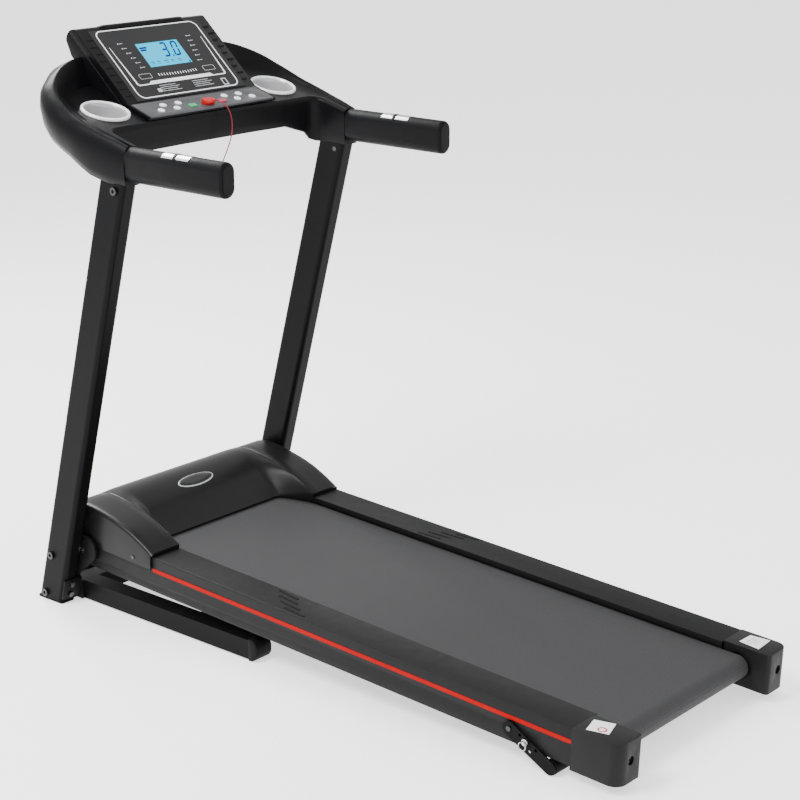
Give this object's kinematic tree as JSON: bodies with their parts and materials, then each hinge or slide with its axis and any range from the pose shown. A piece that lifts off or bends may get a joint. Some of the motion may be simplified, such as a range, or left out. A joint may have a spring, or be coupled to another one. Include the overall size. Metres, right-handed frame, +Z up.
{
  "type": "treadmill",
  "caption": "Folding home treadmill: flat base, leaning uprights, console with display, long grips, belt deck with motor hood and incline feet.",
  "frame": {"origin": "on the floor at the centre of the machine's footprint", "axes": "+X to the user's right, +Y forward towards the motor, +Z up"},
  "size_m": [0.68, 1.44, 1.1648],
  "materials": {
    "black_paint": "satin black powder coat",
    "foot_rubber": "matt black",
    "dark_steel": "blackened",
    "steel": "turned",
    "knob_plastic": "matt",
    "wheel_plastic": "matt",
    "board": "waxed board",
    "belt": "fine ribbed top",
    "rail_plastic": "grained",
    "red_stripe": "glossy",
    "pin_chrome": "polished",
    "motor_paint": "satin",
    "circuit": "solder mask",
    "hood_plastic": "satin",
    "shroud_plastic": "satin",
    "cup_plastic": "translucent grey",
    "grip_rubber": "soft",
    "pulse_steel": "brushed",
    "strip_plastic": "gloss",
    "panel_film": "printed film",
    "lcd": "lit display",
    "white_button": "gloss",
    "green_plastic": "gloss",
    "stop_plastic": "gloss",
    "red_plastic": "gloss",
    "cord_red": "coated cord"
  },
  "bodies": {
    "base": {"base_frame": "black_paint", "base_plates": "black_paint", "uprights": "black_paint", "base_feet": "foot_rubber", "frame_bolts": "dark_steel", "fold_pivot_pins": "steel", "shroud_upper": "shroud_plastic", "shroud_lower": "shroud_plastic", "cup_holders": "cup_plastic", "grips": "grip_rubber", "pulse_plates": "pulse_steel", "console_front": "shroud_plastic", "console_back": "shroud_plastic", "button_strip": "strip_plastic", "display_overlay": "panel_film", "display_lcd": "lcd", "console_board": "circuit"},
    "deck": {"deck_side_tubes": "black_paint", "deck_cross_tubes": "black_paint", "deck_board": "board", "deck_cushions": "foot_rubber", "running_belt": "belt", "roller_axles": "steel", "deck_fasteners": "dark_steel", "rail_covers": "rail_plastic", "side_stripes": "red_stripe", "end_caps": "rail_plastic", "drive_motor": "motor_paint", "drive_belt": "belt", "motor_controller": "circuit", "motor_pan": "rail_plastic", "motor_hood": "hood_plastic", "hood_sides": "hood_plastic", "power_inlet": "knob_plastic"},
    "front_roller": {"front_roller": "steel"},
    "rear_roller": {"rear_roller": "steel"},
    "motor_rotor": {"motor_rotor": "steel"},
    "power_switch": {"power_switch": "red_plastic"},
    "fold_latch": {"fold_latch": "knob_plastic"},
    "safety_key": {"safety_key": "red_plastic", "safety_cord": "cord_red", "safety_clip": "knob_plastic"},
    "transport_wheel_left": {"transport_wheel_left": "wheel_plastic"},
    "incline_foot_left": {"incline_foot_left": "black_paint"},
    "foot_roller_left": {"foot_roller_left": "foot_rubber"},
    "incline_pin_left": {"incline_pin_left": "pin_chrome"},
    "transport_wheel_right": {"transport_wheel_right": "wheel_plastic"},
    "incline_foot_right": {"incline_foot_right": "black_paint"},
    "foot_roller_right": {"foot_roller_right": "foot_rubber"},
    "incline_pin_right": {"incline_pin_right": "pin_chrome"},
    "button_1": {"button_1": "white_button"},
    "button_2": {"button_2": "white_button"},
    "button_3": {"button_3": "white_button"},
    "button_4": {"button_4": "white_button"},
    "button_5": {"button_5": "white_button"},
    "button_6": {"button_6": "white_button"},
    "button_7": {"button_7": "white_button"},
    "button_8": {"button_8": "white_button"},
    "start_button": {"start_button": "green_plastic"},
    "stop_button": {"stop_button": "stop_plastic"}
  },
  "joints": [
    {"name": "deck_fold", "type": "hinge", "parent": "base", "child": "deck", "pos_m": [0, 0.612, 0.118], "axis": [-1, 0, 0], "range_deg": [0, 72]},
    {"name": "front_roller_spin", "type": "hinge", "parent": "deck", "child": "front_roller", "pos_m": [0, 0.52043, 0.11412], "axis": [1, 0, 0], "continuous": true},
    {"name": "rear_roller_spin", "type": "hinge", "parent": "deck", "child": "rear_roller", "pos_m": [0, -0.65644, 0.06274], "axis": [1, 0, 0], "continuous": true},
    {"name": "motor_spin", "type": "hinge", "parent": "deck", "child": "motor_rotor", "pos_m": [0, 0.60843, 0.16201], "axis": [1, 0, 0], "continuous": true},
    {"name": "power_switch_rock", "type": "hinge", "parent": "deck", "child": "power_switch", "pos_m": [-0.108, 0.67515, 0.12388], "axis": [-1, 0, 0], "range_deg": [0, 16]},
    {"name": "fold_latch_slide", "type": "slide", "parent": "base", "child": "fold_latch", "axis": [-1, 0, 0], "range_m": [0, 0.022]},
    {"name": "safety_key_pull", "type": "slide", "parent": "base", "child": "safety_key", "axis": [0, -0.3087, 0.9512], "range_m": [0, 0.02]},
    {"name": "transport_wheel_left_spin", "type": "hinge", "parent": "base", "child": "transport_wheel_left", "pos_m": [-0.211, 0.695, 0.0265], "axis": [1, 0, 0], "continuous": true},
    {"name": "incline_foot_left_swing", "type": "hinge", "parent": "deck", "child": "incline_foot_left", "pos_m": [-0.245, -0.49, 0.0615], "axis": [1, 0, 0], "range_deg": [0, 40]},
    {"name": "foot_roller_left_spin", "type": "hinge", "parent": "incline_foot_left", "child": "foot_roller_left", "pos_m": [-0.2465, -0.578, 0.014], "axis": [1, 0, 0], "continuous": true},
    {"name": "incline_pin_left_pull", "type": "slide", "parent": "incline_foot_left", "child": "incline_pin_left", "axis": [-1, 0, 0], "range_m": [0, 0.013], "stiffness_N_per_m": 400, "springref_m": -0.003},
    {"name": "transport_wheel_right_spin", "type": "hinge", "parent": "base", "child": "transport_wheel_right", "pos_m": [0.211, 0.695, 0.0265], "axis": [1, 0, 0], "continuous": true},
    {"name": "incline_foot_right_swing", "type": "hinge", "parent": "deck", "child": "incline_foot_right", "pos_m": [0.245, -0.49, 0.0615], "axis": [1, 0, 0], "range_deg": [0, 40]},
    {"name": "foot_roller_right_spin", "type": "hinge", "parent": "incline_foot_right", "child": "foot_roller_right", "pos_m": [0.2465, -0.578, 0.014], "axis": [1, 0, 0], "continuous": true},
    {"name": "incline_pin_right_pull", "type": "slide", "parent": "incline_foot_right", "child": "incline_pin_right", "axis": [1, 0, 0], "range_m": [0, 0.013], "stiffness_N_per_m": 400, "springref_m": -0.003},
    {"name": "button_1_press", "type": "slide", "parent": "base", "child": "button_1", "axis": [0, 0.3087, -0.9512], "range_m": [0, 0.001], "stiffness_N_per_m": 1200, "springref_m": -0.0004},
    {"name": "button_2_press", "type": "slide", "parent": "base", "child": "button_2", "axis": [0, 0.3087, -0.9512], "range_m": [0, 0.001], "stiffness_N_per_m": 1200, "springref_m": -0.0004},
    {"name": "button_3_press", "type": "slide", "parent": "base", "child": "button_3", "axis": [0, 0.3087, -0.9512], "range_m": [0, 0.001], "stiffness_N_per_m": 1200, "springref_m": -0.0004},
    {"name": "button_4_press", "type": "slide", "parent": "base", "child": "button_4", "axis": [0, 0.3087, -0.9512], "range_m": [0, 0.001], "stiffness_N_per_m": 1200, "springref_m": -0.0004},
    {"name": "button_5_press", "type": "slide", "parent": "base", "child": "button_5", "axis": [0, 0.3087, -0.9512], "range_m": [0, 0.001], "stiffness_N_per_m": 1200, "springref_m": -0.0004},
    {"name": "button_6_press", "type": "slide", "parent": "base", "child": "button_6", "axis": [0, 0.3087, -0.9512], "range_m": [0, 0.001], "stiffness_N_per_m": 1200, "springref_m": -0.0004},
    {"name": "button_7_press", "type": "slide", "parent": "base", "child": "button_7", "axis": [0, 0.3087, -0.9512], "range_m": [0, 0.001], "stiffness_N_per_m": 1200, "springref_m": -0.0004},
    {"name": "button_8_press", "type": "slide", "parent": "base", "child": "button_8", "axis": [0, 0.3087, -0.9512], "range_m": [0, 0.001], "stiffness_N_per_m": 1200, "springref_m": -0.0004},
    {"name": "start_button_press", "type": "slide", "parent": "base", "child": "start_button", "axis": [0, 0.3087, -0.9512], "range_m": [0, 0.001], "stiffness_N_per_m": 1200, "springref_m": -0.0004},
    {"name": "stop_button_press", "type": "slide", "parent": "base", "child": "stop_button", "axis": [0, 0.3087, -0.9512], "range_m": [0, 0.001], "stiffness_N_per_m": 1200, "springref_m": -0.0004}
  ],
  "couplings": [
    {"joint": "rear_roller_spin", "follows": "front_roller_spin", "ratio": 1},
    {"joint": "motor_spin", "follows": "front_roller_spin", "ratio": 1.9375}
  ]
}
